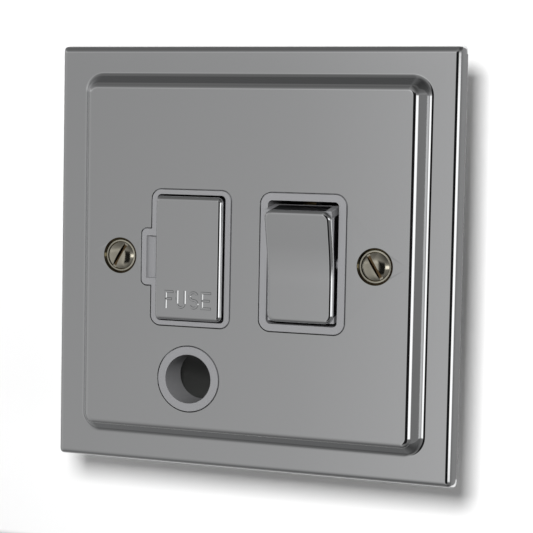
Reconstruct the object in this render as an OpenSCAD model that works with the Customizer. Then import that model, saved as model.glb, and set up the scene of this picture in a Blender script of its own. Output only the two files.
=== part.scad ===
// Switched fused connection unit with a front flex outlet, on a stepped metal plate.
// Each module is drawn lying down: x to the right, y up the wall, z out of the wall.
// upright() then stands it up, so that the front faces -Y and the wall is the plane y = 0.

/* [Plate] */
// Width and height of the square plate
plate_w = 95.3; // [94.5:0.1:98]
// Thickness of the pressed sheet
plate_t = 1; // [0.8:0.1:1.2]
// Front of the flat border, from the wall
border_h = 3.4; // [3.2:0.1:4]
// Front of the raised panel, from the wall
panel_h = 7; // [6.8:0.1:8]
// Width of the flat part of the raised panel
panel_w = 75.2; // [74:0.1:76]
// Bend radius between the border and the rim wall
edge_r = 1.45; // [1.2:0.05:1.6]
// Slope of the rim wall
edge_angle = 79; // [76:1:84]
// Corner radius of the rim
rim_corner_r = 1.95; // [1.9:0.05:3]
// Slope of the step wall
step_angle = 64.5; // [55:0.5:75]
// Bend radius at the top of the step
step_top_r = 1.85; // [1.5:0.05:2]
// Bend radius at the foot of the step
step_foot_r = 1.35; // [1:0.05:1.6]
// Corner radius of the flat part of the raised panel
panel_corner_r = 0.6; // [0.4:0.1:2]
// Gap round each moulded front where it comes through the plate
cutout_gap = 0.12; // [0.05:0.01:0.3]

/* [Fixing screws] */
// Distance between the two fixing screws
fixing_pitch = 60.3; // [60.3:0.1:61]
// Thread diameter
fixing_d = 3.5; // [3:0.1:4]
// Length from the rim of the head to the tip
fixing_l = 25; // [20:1:35]
// Head diameter
fixing_head_d = 7.4; // [6.8:0.1:7.6]
// Mouth of the countersink
countersink_d = 8; // [7.8:0.1:8.6]
// Rise of the domed head above its rim
fixing_dome = 0.9; // [0.5:0.1:1.2]
// Width of a driver slot
slot_w = 0.85; // [0.6:0.05:1]
// Depth of a driver slot
slot_depth = 1.1; // [0.8:0.1:1.3]
// Turn of the left slot
slot_turn_left = 60; // [0:1:180]
// Turn of the right slot
slot_turn_right = 122; // [0:1:180]

/* [Fuse carrier] */
// Sideways place of the fuse carrier
fuse_x = -12.8; // [-13.2:0.1:-12.4]
// Width of the metal face
fuse_face_w = 14.5; // [14:0.1:15]
// Gap between the metal face and each side of the opening
fuse_side_gap = 0.975; // [0.8:0.025:1.1]
// Gap between the metal face and each end of the opening
fuse_end_gap = 0.925; // [0.8:0.025:1.1]
// Room beyond each end of the fuse in the opening
fuse_end_room = 1.475; // [1.4:0.025:1.6]
// Rim of the moulded surround at each side of the opening
fuse_rim_w = 1.25; // [1.1:0.05:1.4]
// Rim of the moulded surround at each end of the opening
fuse_rim_h = 1.025; // [0.9:0.025:1.2]
// How far the metal face stands out of the panel
fuse_face_proud = 1.75; // [1.4:0.05:2]
// Thickness of the metal faces
face_t = 1.2; // [1:0.1:1.4]
// How far the driver notch's tab stands out of the surround
notch_tab_w = 2.45; // [2.2:0.05:2.6]
// Height of the driver notch's tab
notch_tab_h = 12.65; // [12:0.05:13.5]
// Length of the driver notch
notch_l = 9.5; // [8.5:0.1:10]
// Radius of the driver notch
notch_r = 1.3; // [1.1:0.1:1.5]

/* [Fuse] */
// Diameter over the end caps
fuse_d = 6.35; // [6:0.05:6.4]
// Length over the end caps
fuse_l = 25.4; // [25:0.1:25.6]
// Length of one end cap
fuse_cap_l = 5.8; // [5:0.1:6]
// Depth of the fuse's centre behind the panel's front
fuse_depth = 10; // [9.8:0.1:10.2]

/* [Switch] */
// Sideways place of the switch
switch_x = 13.65; // [13.3:0.05:13.8]
// Width of the rocker
rocker_w = 15.3; // [15:0.1:15.5]
// Length of the rocker's face
rocker_l = 24.6; // [24:0.1:25]
// Gap between the rocker and each side of its opening
rocker_side_gap = 0.55; // [0.4:0.05:0.7]
// Gap between the rocker's face and each end of its opening
rocker_end_gap = 1.25; // [1.1:0.05:1.5]
// Rim of the moulded surround at each side of the opening
switch_rim_w = 1.65; // [1.5:0.05:1.75]
// Rim of the moulded surround at each end of the opening
switch_rim_h = 1.6; // [1.4:0.05:1.8]
// How far the pressed half of the rocker stands out of the panel
rocker_proud = 1.6; // [1.2:0.1:1.8]
// Tilt of the rocker to either side of its middle
rocker_tilt = 7; // [6:0.5:7.5]
// Depth of the rocker's pivot behind the panel's front
pivot_depth = 2.6; // [2.4:0.1:2.8]
// Diameter of the rocker's trunnions
trunnion_d = 2.8; // [2.4:0.1:3]
// Distance between the live and neutral poles
pole_pitch = 8; // [7.8:0.1:8.2]
// Tilt of a see-saw contact to either side of its middle
seesaw_tilt = 5; // [4:0.5:5.5]
// Length of a see-saw contact
seesaw_l = 15; // [14:0.5:15.5]

/* [Flex outlet] */
// Sideways place of the flex outlet
flex_x = -12.95; // [-13.2:0.05:-12.7]
// Height of the flex outlet's centre below the fixing screws
flex_drop = 27.1; // [27:0.05:27.3]
// Outer diameter of the outlet's tube
flex_tube_d = 14.6; // [14.2:0.1:14.8]
// Bore of the outlet
flex_bore_d = 11; // [10.5:0.1:11.4]
// Length of the outlet's tube
flex_tube_l = 8.5; // [8:0.1:9]

/* [Module] */
// Front of the moulded surrounds above the panel
bezel_proud = 0.15; // [0.05:0.05:0.3]
// Thickness of the front moulding behind the plate
slab_t = 2.2; // [2:0.1:2.5]
// From each stud to the side of the front moulding
stud_edge = 2.95; // [2.6:0.05:3.4]
// Room for the wall box's lug, from each fixing screw to the side of the rear moulding
lug_room = 4.15; // [3.9:0.05:4.4]
// Top edge of the module above the fixing screws
module_top = 26; // [25.8:0.1:26.5]
// Bottom edge of the module below the fixing screws
module_drop = 35.6; // [35.4:0.1:36]
// Back of the rear moulding behind the wall's face
base_depth = 21.5; // [21:0.1:23]
// Thickness of the floor under the contacts
floor_t = 2.2; // [2:0.1:2.6]
// Thickness of the brass strips
strip_t = 0.8; // [0.6:0.1:1]
// Width of the brass strips
strip_w = 5; // [4.6:0.1:5.2]

/* [Terminals] */
// Width and length of a brass terminal block
block_w = 8; // [7.8:0.1:8.2]
// Height of a brass terminal block
block_h = 9; // [8.6:0.1:9.2]
// Bore for the conductors
wire_d = 4.2; // [3.8:0.1:4.4]
// Thread diameter of a terminal screw
terminal_screw_d = 3.5; // [3:0.1:3.6]
// Head diameter of a terminal screw
terminal_head_d = 5.6; // [5:0.1:6]

/* [Hidden] */
$fn = 48;
overrun = 1;
fit_gap = 0.05;
seat_gap = 0.3;
chrome = "silver";
light_plastic = "gainsboro";
dark_plastic = "dimgray";
brass = "goldenrod";

// Plate sections
edge_run = edge_r * sin(edge_angle) + (border_h - edge_r + edge_r * cos(edge_angle)) / tan(edge_angle);
border_half = plate_w / 2 - edge_run;
rim_centre = plate_w / 2 - rim_corner_r;
panel_centre = panel_w / 2 - panel_corner_r;
step_wall_l = (panel_h - border_h - (step_top_r + step_foot_r) * (1 - cos(step_angle))) / sin(step_angle);
step_run = (step_top_r + step_foot_r) * sin(step_angle) + step_wall_l * cos(step_angle);
foot_land = step_foot_r / 2;
panel_back = panel_h - plate_t;

// Fixing screws and their countersinks
fixing_r = fixing_d / 2;
fixing_hole_r = fixing_r + 3 * fit_gap;
countersink_r = countersink_d / 2;
fixing_head_r = fixing_head_d / 2;
countersink_depth = countersink_r - fixing_hole_r;
fixing_rim_z = panel_h - (countersink_r - fixing_head_r) + fit_gap;
dome_r = (fixing_head_r * fixing_head_r + fixing_dome * fixing_dome) / (2 * fixing_dome);

// Openings and surrounds
switch_open_w = rocker_w + 2 * rocker_side_gap;
switch_open_h = rocker_l + 2 * rocker_end_gap;
switch_bezel_w = switch_open_w + 2 * switch_rim_w;
switch_bezel_h = switch_open_h + 2 * switch_rim_h;
fuse_open_w = fuse_face_w + 2 * fuse_side_gap;
fuse_open_h = fuse_l + 2 * fuse_end_room;
fuse_face_h = fuse_open_h - 2 * fuse_end_gap;
fuse_bezel_w = fuse_open_w + 2 * fuse_rim_w;
fuse_bezel_h = fuse_open_h + 2 * fuse_rim_h;

// Front moulding
bezel_z = panel_h + bezel_proud;
slab_z = panel_back - slab_t;
module_h = module_top + module_drop;
module_y = (module_top - module_drop) / 2;
slab_corner_r = 3;
base_corner_r = 2.5;
fuse_bezel_r = 2.2;
switch_bezel_r = 2.5;
opening_r = 1;
notch_tab_r = 1.2;
chute_z = -3;
well_z = -1.5;
screw_clearance_r = 6;
flex_y = -flex_drop;

// Studs welded behind the plate, and the module screws
stud_d = 3;
stud_l = 5.5;
stud_y = 20;
earth_stud_x = -12.5;
earth_stud_y = 30.5;
nut_flats = 5.5;
nut_t = 2.4;
base_w = fixing_pitch - 2 * lug_room;
stud_x = base_w / 2 + seat_gap + nut_flats / 2;
slab_w = 2 * (stud_x + stud_edge);
stud_places = [for (x = [-stud_x, stud_x], y = [-stud_y, stud_y]) [x, y]];
rear_screw_d = 2.9;
rear_screw_head_d = 5.4;
rear_screw_head_t = 1.8;
recess_l_share = 0.5;
recess_w_share = 0.14;
left_screw_gap = 2.15;
right_screw_gap = 2.25;
top_screw_y = 19;
left_screw_rise = 4.1;
right_screw_rise = 4.3;

// Rear moulding
base_z = -base_depth;
floor_z = -11.8;
recess_low_y = -13;
recess_high_y = 15.2;
chamber_gap = seat_gap;
strip_z = floor_z + strip_t;

// Terminals
block_top_z = -9.5;
wire_z = -13.6;
top_block_y = 17;
bottom_block_y = -25.6;
live_x = switch_x - pole_pitch / 2;
neutral_x = switch_x + pole_pitch / 2;
supply_spread = 0.75;
supply_xs = [live_x - supply_spread, neutral_x + supply_spread];
load_xs = [1.5, neutral_x];
earth_xs = [-17.5, -7.5];
terminal_head_t = 1.8;
block_z = block_top_z - block_h;
rear_screw_places = [
    [(earth_xs[1] + supply_xs[0]) / 2, top_screw_y],
    [flex_x - flex_tube_d / 2 - left_screw_gap, left_screw_rise - module_drop],
    [neutral_x + strip_w / 2 + right_screw_gap, bottom_block_y + right_screw_rise]
];

// Rocker, drawn about its pivot with its tilt at zero
pivot_z = panel_h - pivot_depth;
face_mid_h = (pivot_depth + rocker_proud) / cos(rocker_tilt);
face_end_h = face_mid_h + rocker_l / 2 * tan(rocker_tilt);
dish_r = 40;
dish_blend_y = dish_r * sin(rocker_tilt);
dish_blend_h = face_mid_h + dish_blend_y * tan(rocker_tilt);
rocker_low = -1.6;
rocker_flare = 0.3;
rocker_wall = 1.3;
rocker_corner_r = 1;
trunnion_r = trunnion_d / 2;
trunnion_in = 1.2;
hub_l = 6.4;
hub_low = -6;
barrier_t = 1.2;
barrier_gap = 1.6;
plunger_r = 1.5;
plunger_tip = -11;
plunger_top = -3.2;
plunger_bore_r = plunger_r + 2 * fit_gap;
spring_room = face_mid_h - face_t - rocker_wall;
spring_wire_d = 0.4;
spring_mean_r = 1.05;
spring_turns = 5;

// See-saw contacts, drawn about the round top of their post
post_r = 0.6;
saddle_in_r = post_r + fit_gap + fit_gap / 2;
saddle_out_r = saddle_in_r + strip_t;
seesaw_z = pivot_z + plunger_tip - seat_gap - saddle_out_r;
seesaw_side = 0.2;
seesaw_w = strip_w - 2 * seesaw_side;
tip_inset = 1.5;
tip_y = seesaw_l / 2 - tip_inset;
tip_r = 1.25;
moving_tip_t = 0.7;
fixed_tip_z = seesaw_z - tip_y * sin(seesaw_tilt) - moving_tip_t - seat_gap;

// Fuse and its carrier
fuse_z = panel_h - fuse_depth;
fuse_r = fuse_d / 2;
cap_wall = 0.25;
barrel_r = 3.1;
carrier_gap = 0.4;
carrier_top_z = panel_h + fuse_face_proud - face_t;
carrier_plate_t = 2.6;
carrier_wall = 1.2;
carrier_low_z = 1.5;
guide_l = 6;
guide_low_z = -9;
cradle_y = 4;
cradle_t = 1.6;
cradle_w = 9.2;
cradle_grip = 1.4;
face_corner_r = 0.9;
face_edge_r = 0.4;
clip_y = fuse_l / 2 - fuse_cap_l / 2;
clip_l = 5;
clip_foot_w = 9;
clip_in_r = fuse_r + seat_gap;
clip_lip_l = 1.2;
clip_lip_turn = 25;

// Cord clamp
clamp_y = -16.8;
clamp_l = 22;
clamp_w = 5;
clamp_t = 2.5;
clamp_ridge_r = 1;
clamp_screw_x = 8.2;
clamp_screw_d = 2.9;
clamp_screw_grip = 7;
channel_w = 9;
channel_depth = 6.5;
tunnel_d = 13;

module upright() rotate([90, 0, 0]) children();

// A rectangle with round corners
module rounded(w, h, r) {
    square([w - 2 * r, h], center = true);
    square([w, h - 2 * r], center = true);
    for (x = [-1, 1], y = [-1, 1]) translate([x * (w / 2 - r), y * (h / 2 - r)]) circle(r);
}

module slice(low, high) translate([0, 0, low]) linear_extrude(high - low) children();

// An outline drawn in the plane of y and z, run along x, and one in x and z, run along y
module along_x(length) rotate([90, 0, 90]) linear_extrude(length, center = true) children();
module along_y(length) rotate([90, 0, 0]) linear_extrude(length, center = true) children();

// A section swept round a rectangle whose corner centres lie at cx and cy
module swept(cx, cy, low, high) {
    translate([-cx, -cy, low]) cube([2 * cx, 2 * cy, high - low]);
    for (turn = [0, 180]) rotate(turn) {
        translate([cx, 0, 0]) along_y(2 * cy) children();
        translate([cx, cy, 0]) rotate_extrude(angle = 90) children();
    }
    for (turn = [90, 270]) rotate(turn) {
        translate([cy, 0, 0]) along_y(2 * cx) children();
        translate([cy, cx, 0]) rotate_extrude(angle = 90) children();
    }
}

// Section of the border's outer edge, from its corner centre outwards
module edge_section(inset, low) {
    centre = [border_half - rim_centre, border_h - edge_r];
    r = edge_r - inset;
    touch = centre + r * [sin(edge_angle), cos(edge_angle)];
    polygon([
        [0, low], [touch.x + (touch.y - low) / tan(edge_angle), low], touch,
        [centre.x, border_h - inset], [0, border_h - inset]
    ]);
    intersection() {
        translate(centre) circle(r);
        square([rim_corner_r, border_h]);
    }
}

// Section of the step from the panel down to the border
module step_section(inset, low) {
    top_centre = [panel_corner_r, panel_h - step_top_r];
    foot_centre = [panel_corner_r + step_run, border_h + step_foot_r];
    slope = [sin(step_angle), cos(step_angle)];
    top_r = step_top_r - inset;
    foot_r = step_foot_r + inset;
    difference() {
        polygon([
            [0, low], [foot_centre.x + foot_land, low],
            [foot_centre.x + foot_land, border_h - inset], [foot_centre.x, border_h - inset],
            foot_centre - foot_r * slope, top_centre + top_r * slope,
            [top_centre.x, panel_h - inset], [0, panel_h - inset]
        ]);
        translate(foot_centre) circle(foot_r);
    }
    intersection() {
        translate(top_centre) circle(top_r);
        square([panel_corner_r + step_top_r, panel_h]);
    }
}

// The pressed form of the plate, or the same form one sheet thickness further in
module pressing(inset, low) {
    swept(rim_centre, rim_centre, low, border_h - inset) edge_section(inset, low);
    swept(panel_centre, panel_centre, low, panel_h - inset) step_section(inset, low);
}

module fuse_bezel_outline(gap = 0) {
    rounded(fuse_bezel_w + 2 * gap, fuse_bezel_h + 2 * gap, fuse_bezel_r + gap);
    translate([-fuse_bezel_w / 2, 0])
        rounded(2 * (notch_tab_w + gap), notch_tab_h + 2 * gap, notch_tab_r + gap);
}

module switch_bezel_outline(gap = 0)
    rounded(switch_bezel_w + 2 * gap, switch_bezel_h + 2 * gap, switch_bezel_r + gap);

module at_fixings() for (side = [-1, 1]) translate([side * fixing_pitch / 2, 0, 0]) children();

// Pressed plate with its cut-outs and two dimpled countersinks
module front_plate() color(chrome) upright() difference() {
    union() {
        difference() {
            pressing(0, 0);
            pressing(plate_t, -overrun);
        }
        at_fixings() translate([0, 0, panel_h - countersink_depth])
            cylinder(h = countersink_depth - plate_t / 2,
                r1 = fixing_hole_r + plate_t, r2 = countersink_r + plate_t / 2);
    }
    at_fixings() {
        translate([0, 0, panel_h - countersink_depth])
            cylinder(h = countersink_depth + overrun, r1 = fixing_hole_r, r2 = countersink_r + overrun);
        cylinder(h = panel_h, r = fixing_hole_r);
    }
    translate([fuse_x, 0, 0]) slice(0, panel_h + overrun) fuse_bezel_outline(cutout_gap);
    translate([switch_x, 0, 0]) slice(0, panel_h + overrun) switch_bezel_outline(cutout_gap);
    translate([flex_x, flex_y, 0]) cylinder(h = panel_h + overrun, r = flex_tube_d / 2 + cutout_gap);
}

// Threaded studs welded to the back of the plate: four hold the module and one the earth strap
module plate_studs() color(brass) upright()
    for (place = concat(stud_places, [[earth_stud_x, earth_stud_y]]))
        translate([place.x, place.y, panel_back - stud_l]) cylinder(h = stud_l, r = stud_d / 2);

module hex_nut(top) translate([0, 0, top - nut_t]) difference() {
    rotate(30) cylinder(h = nut_t, r = nut_flats / 2 / cos(30), $fn = 6);
    translate([0, 0, -overrun]) cylinder(h = nut_t + 2 * overrun, r = stud_d / 2 + fit_gap);
}

module stud_nuts() color(brass) upright() {
    for (place = stud_places) translate([place.x, place.y, 0]) hex_nut(slab_z);
    translate([earth_stud_x, earth_stud_y, 0]) hex_nut(panel_back - strip_t);
}

// Raised countersunk machine screws
module fixing_screw(turn) difference() {
    rotate_extrude() {
        polygon([
            [0, fixing_rim_z - fixing_l], [fixing_r, fixing_rim_z - fixing_l],
            [fixing_r, fixing_rim_z - fixing_head_r + fixing_r],
            [fixing_head_r, fixing_rim_z], [0, fixing_rim_z]
        ]);
        intersection() {
            translate([0, fixing_rim_z + fixing_dome - dome_r]) circle(dome_r);
            translate([0, fixing_rim_z]) square([fixing_head_r, fixing_dome]);
        }
    }
    rotate(turn) translate([0, 0, fixing_rim_z + fixing_dome - slot_depth + overrun])
        cube([fixing_head_d + overrun, slot_w, 2 * overrun], center = true);
}

module fixing_screws() color("tan") upright() {
    translate([-fixing_pitch / 2, 0, 0]) fixing_screw(slot_turn_left);
    translate([fixing_pitch / 2, 0, 0]) fixing_screw(slot_turn_right);
}

// Front moulding: slab behind the plate, fuse chute, switch well and flex tube
module front_moulding() color(light_plastic) upright() difference() {
    union() {
        translate([0, module_y, 0]) slice(slab_z, panel_back) rounded(slab_w, module_h, slab_corner_r);
        translate([fuse_x, 0, 0]) {
            slice(chute_z, panel_back) rounded(fuse_bezel_w, fuse_bezel_h, fuse_bezel_r);
            slice(slab_z, bezel_z) fuse_bezel_outline();
        }
        translate([switch_x, 0, 0]) slice(well_z, bezel_z) switch_bezel_outline();
        translate([flex_x, flex_y, bezel_z - flex_tube_l]) cylinder(h = flex_tube_l, r = flex_tube_d / 2);
    }
    translate([fuse_x, 0, 0]) {
        slice(chute_z - overrun, bezel_z + overrun) rounded(fuse_open_w, fuse_open_h, opening_r);
        translate([-fuse_bezel_w / 2, 0, bezel_z]) along_y(notch_l) circle(notch_r);
    }
    translate([switch_x, 0, 0]) {
        slice(well_z - overrun, bezel_z + overrun) rounded(switch_open_w, switch_open_h, opening_r);
        translate([0, 0, pivot_z])
            along_x(rocker_w + 2 * (rocker_socket_reach() + fit_gap)) circle(trunnion_r + fit_gap);
    }
    translate([flex_x, flex_y, bezel_z - flex_tube_l - overrun])
        cylinder(h = flex_tube_l + 2 * overrun, r = flex_bore_d / 2);
    at_fixings() translate([0, 0, slab_z - overrun])
        cylinder(h = slab_t + 2 * overrun, r = screw_clearance_r);
    for (place = stud_places) translate([place.x, place.y, slab_z - overrun])
        cylinder(h = slab_t + 2 * overrun, r = stud_d / 2 + fit_gap);
    for (place = rear_screw_places) translate([place.x, place.y, slab_z - overrun])
        cylinder(h = slab_t / 2 + overrun, r = rear_screw_d / 2 + fit_gap);
}

// How far a trunnion reaches past the side of the rocker
function rocker_socket_reach() = (switch_open_w - rocker_w) / 2 + trunnion_in;

// A pocket for a terminal, open at the back and at the wire's end
module terminal_pocket(x, y, out, w = block_w, roof = block_top_z)
    translate([x - w / 2 - chamber_gap, out > 0 ? y - chamber_gap : y - 2 * block_w, base_z - overrun])
        cube([w + 2 * chamber_gap, 2 * block_w + chamber_gap, roof - base_z + overrun]);

// A channel for a strip, open to the front
module strip_channel(x, y, w, h)
    translate([x - w / 2 - fit_gap, y - h / 2 - fit_gap, floor_z])
        cube([w + 2 * fit_gap, h + 2 * fit_gap, slab_z - floor_z + overrun]);

// Rear moulding: contact chambers open to the front, terminal pockets and cord channel at the back
module rear_moulding() color(dark_plastic) upright() difference() {
    translate([0, module_y, 0]) slice(base_z, slab_z) rounded(base_w, module_h, base_corner_r);
    translate([-base_w, recess_low_y, base_z - overrun])
        cube([2 * base_w, recess_high_y - recess_low_y, floor_z - floor_t - base_z + overrun]);
    translate([fuse_x, 0, 0]) slice(floor_z, slab_z + overrun)
        rounded(fuse_bezel_w + 2 * chamber_gap, fuse_bezel_h + 2 * chamber_gap, fuse_bezel_r + chamber_gap);
    difference() {
        translate([switch_x, 0, 0]) slice(floor_z, slab_z + overrun) switch_bezel_outline(chamber_gap);
        translate([switch_x, 0, 0]) slice(floor_z, pivot_z + hub_low - barrier_gap)
            square([barrier_t, switch_bezel_h + 2 * overrun], center = true);
    }
    for (x = supply_xs) terminal_pocket(x, top_block_y, 1);
    terminal_pocket((earth_xs[0] + earth_xs[1]) / 2, top_block_y, 1,
        earth_xs[1] - earth_xs[0] + block_w, block_top_z + strip_t);
    for (x = load_xs) terminal_pocket(x, bottom_block_y, -1);
    for (x = [live_x, neutral_x])
        translate([x - strip_w / 2 - fit_gap, 0, floor_z])
            cube([strip_w + 2 * fit_gap, top_block_y, strip_t + fit_gap]);
    strip_channel((live_x + fuse_x) / 2, 0, live_x - fuse_x, strip_w);
    strip_channel(neutral_x, bottom_block_y / 2, strip_w, -bottom_block_y);
    strip_channel((load_xs[0] + fuse_x) / 2, -clip_y, load_xs[0] - fuse_x + strip_w, clip_l);
    strip_channel(load_xs[0], (bottom_block_y - clip_y) / 2, strip_w, -bottom_block_y - clip_y);
    translate([flex_x, flex_y, 0]) {
        translate([0, 0, bezel_z - flex_tube_l - seat_gap])
            cylinder(h = flex_tube_l, r = flex_tube_d / 2 + chamber_gap);
        translate([0, 0, base_z - overrun]) cylinder(h = base_depth + overrun, r = tunnel_d / 2);
    }
    translate([flex_x - channel_w / 2, flex_y, base_z - overrun])
        cube([channel_w, recess_low_y - flex_y + overrun, channel_depth + overrun]);
    for (side = [-1, 1]) translate([flex_x + side * clamp_screw_x, clamp_y, base_z - overrun])
        cylinder(h = clamp_screw_grip + overrun, r = clamp_screw_d / 2 + fit_gap);
    for (place = rear_screw_places) translate([place.x, place.y, base_z - overrun]) {
        cylinder(h = base_depth + slab_z + 2 * overrun, r = rear_screw_d / 2 + fit_gap);
        cylinder(h = rear_screw_head_t + seat_gap + overrun, r = rear_screw_head_d / 2 + chamber_gap);
    }
}

// Pan-head screws from the back of the rear moulding into the front one
module rear_screws() color("silver") upright() for (place = rear_screw_places)
    translate([place.x, place.y, base_z + seat_gap]) difference() {
        union() {
            cylinder(h = rear_screw_head_t, r = rear_screw_head_d / 2);
            cylinder(h = slab_z + slab_t / 2 - seat_gap - base_z - seat_gap, r = rear_screw_d / 2);
        }
        cross_recess(rear_screw_head_d, rear_screw_head_t);
    }

module cross_recess(head_d, head_t) for (turn = [0, 90]) rotate(turn)
    cube([head_d * recess_l_share, head_d * recess_w_share, head_t], center = true);

// Places a piece drawn about the rocker's pivot, with the rocker pressed at its lower end
module at_rocker() translate([switch_x, 0, pivot_z]) rotate([rocker_tilt, 0, 0]) children();

// Dished metal face of the rocker
module rocker_face() color(chrome) upright() at_rocker() intersection() {
    along_x(rocker_w) difference() {
        polygon([
            [-rocker_l / 2, face_end_h - face_t], [0, face_mid_h - face_t],
            [rocker_l / 2, face_end_h - face_t], [rocker_l / 2, face_end_h],
            [dish_blend_y, dish_blend_h],
            [-dish_blend_y, dish_blend_h], [-rocker_l / 2, face_end_h]
        ]);
        translate([0, face_mid_h + dish_r / cos(rocker_tilt)]) circle(dish_r, $fn = 5 * $fn);
    }
    slice(0, face_end_h + overrun) rounded(rocker_w, rocker_l, rocker_corner_r);
}

// Moulded body of the rocker with its trunnions and the hub that guides the plungers
module rocker_body() color(light_plastic) upright() at_rocker() {
    foot = rocker_l / 2 + rocker_flare;
    difference() {
        union() {
            difference() {
                along_x(rocker_w) polygon([
                    [-foot, rocker_low], [foot, rocker_low], [rocker_l / 2, face_end_h - face_t],
                    [0, face_mid_h - face_t], [-rocker_l / 2, face_end_h - face_t]
                ]);
                along_x(rocker_w - 2 * rocker_wall) polygon([
                    [-foot + rocker_wall, rocker_low - overrun], [foot - rocker_wall, rocker_low - overrun],
                    [rocker_l / 2 - rocker_wall, spring_room], [-rocker_l / 2 + rocker_wall, spring_room]
                ]);
            }
            translate([-rocker_w / 2, -hub_l / 2, hub_low])
                cube([rocker_w, hub_l, spring_room + rocker_wall / 2 - hub_low]);
            along_x(rocker_w + 2 * rocker_socket_reach()) circle(trunnion_r);
        }
        for (side = [-1, 1]) translate([side * pole_pitch / 2, 0, hub_low - overrun])
            cylinder(h = spring_room - hub_low + overrun, r = plunger_bore_r);
    }
}

// Spring-loaded plungers that sweep over the see-saw contacts
module plungers() color("white") upright() at_rocker() for (side = [-1, 1])
    translate([side * pole_pitch / 2, 0, 0]) rotate_extrude() {
        translate([0, plunger_tip + plunger_r])
            square([plunger_r, plunger_top - plunger_tip - plunger_r]);
        intersection() {
            translate([0, plunger_tip + plunger_r]) circle(plunger_r);
            translate([0, plunger_tip]) square(plunger_r);
        }
    }

// A round wire wound along z: rings of points along the helix, joined in order
module coil_spring(low, high, mean_r, wire_r, turns) {
    steps = 14 * turns;
    sides = 6;
    points = [for (i = [0:steps], j = [0:sides - 1]) let (
        turn = 360 * turns * i / steps, around = 360 * j / sides,
        r = mean_r + wire_r * cos(around), z = low + wire_r + (high - low - 2 * wire_r) * i / steps
    ) [r * cos(turn), r * sin(turn), z + wire_r * sin(around)]];
    walls = [for (i = [0:steps - 1], j = [0:sides - 1])
        [i * sides + j, (i + 1) * sides + j, (i + 1) * sides + (j + 1) % sides, i * sides + (j + 1) % sides]];
    polyhedron(points, concat(walls, [[for (j = [0:sides - 1]) j]],
        [[for (j = [sides - 1:-1:0]) steps * sides + j]]));
}

module plunger_springs() color("lightgray") upright() at_rocker() for (side = [-1, 1])
    translate([side * pole_pitch / 2, 0, 0])
        coil_spring(plunger_top + fit_gap, spring_room - fit_gap,
            spring_mean_r, spring_wire_d / 2, spring_turns);

// Places a piece drawn about a see-saw's post, with its upper end down
module at_seesaw(x) translate([x, 0, seesaw_z]) rotate([-seesaw_tilt, 0, 0]) children();

// See-saw contact: a flat strip with a half-round saddle over its post
module seesaw(x) color(brass) upright() at_seesaw(x) along_x(seesaw_w) difference() {
    union() {
        translate([-seesaw_l / 2, 0]) square([seesaw_l, strip_t]);
        intersection() {
            circle(saddle_out_r);
            translate([-saddle_out_r, 0]) square([2 * saddle_out_r, saddle_out_r]);
        }
    }
    circle(saddle_in_r);
}

module live_seesaw() seesaw(live_x);
module neutral_seesaw() seesaw(neutral_x);

module moving_tip(x) color("lightgray") upright() at_seesaw(x)
    translate([0, tip_y, -moving_tip_t]) cylinder(h = moving_tip_t, r = tip_r);

module live_moving_tip() moving_tip(live_x);
module neutral_moving_tip() moving_tip(neutral_x);

// Upright post with a round top that a see-saw rocks on
module post(x) translate([x, 0, 0]) along_x(seesaw_w) {
    translate([-post_r, floor_z]) square([2 * post_r, seesaw_z - floor_z]);
    translate([0, seesaw_z]) circle(post_r);
}

module strip(x_low, x_high, y_low, y_high)
    translate([x_low, y_low, floor_z]) cube([x_high - x_low, y_high - y_low, strip_t]);

// Live pole to the upper fuse clip
module live_link() color(brass) upright() {
    post(live_x);
    strip(fuse_x, live_x + strip_w / 2, -strip_w / 2, strip_w / 2);
    strip(fuse_x - strip_w / 2, fuse_x + strip_w / 2, -strip_w / 2, clip_y + clip_l / 2);
}

// Neutral pole to the neutral load terminal
module neutral_link() color(brass) upright() {
    post(neutral_x);
    strip(neutral_x - strip_w / 2, neutral_x + strip_w / 2, bottom_block_y, strip_w / 2);
}

// Lower fuse clip to the live load terminal
module load_link() color(brass) upright() {
    strip(fuse_x - strip_w / 2, load_xs[0] + strip_w / 2, -clip_y - clip_l / 2, -clip_y + clip_l / 2);
    strip(load_xs[0] - strip_w / 2, load_xs[0] + strip_w / 2, bottom_block_y, -clip_y);
}

// Strips from the supply terminals to the fixed contacts
module supply_strips() color(brass) upright() for (x = [live_x, neutral_x])
    strip(x - strip_w / 2, x + strip_w / 2, tip_y - 2 * tip_r, top_block_y);

module fixed_tips() color("lightgray") upright() for (x = [live_x, neutral_x])
    translate([x, tip_y, strip_z]) cylinder(h = fixed_tip_z - strip_z, r = tip_r);

// Spring clips that grip the fuse's caps, open to the front
module fuse_clips() color(brass) upright() for (y = [-clip_y, clip_y])
    translate([fuse_x, y, 0]) along_y(clip_l) {
        out_r = clip_in_r + strip_t;
        difference() {
            union() {
                translate([0, fuse_z]) circle(out_r);
                translate([-out_r, fuse_z]) square([2 * out_r, clip_lip_l]);
            }
            translate([0, fuse_z]) circle(clip_in_r);
            translate([-clip_in_r, fuse_z]) square([2 * clip_in_r, out_r + overrun]);
            translate([-out_r - overrun, fuse_z + clip_lip_l]) square([2 * (out_r + overrun), out_r]);
        }
        for (side = [-1, 1]) translate([side * (clip_in_r + strip_t / 2), fuse_z + clip_lip_l])
            rotate(-side * clip_lip_turn)
                translate([-strip_t / 2, -strip_t / 4]) square([strip_t, clip_lip_l]);
        translate([-strip_t, strip_z]) square([2 * strip_t, fuse_z - clip_in_r - strip_t / 2 - strip_z]);
        translate([-clip_foot_w / 2, strip_z]) square([clip_foot_w, strip_t]);
    }

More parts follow.
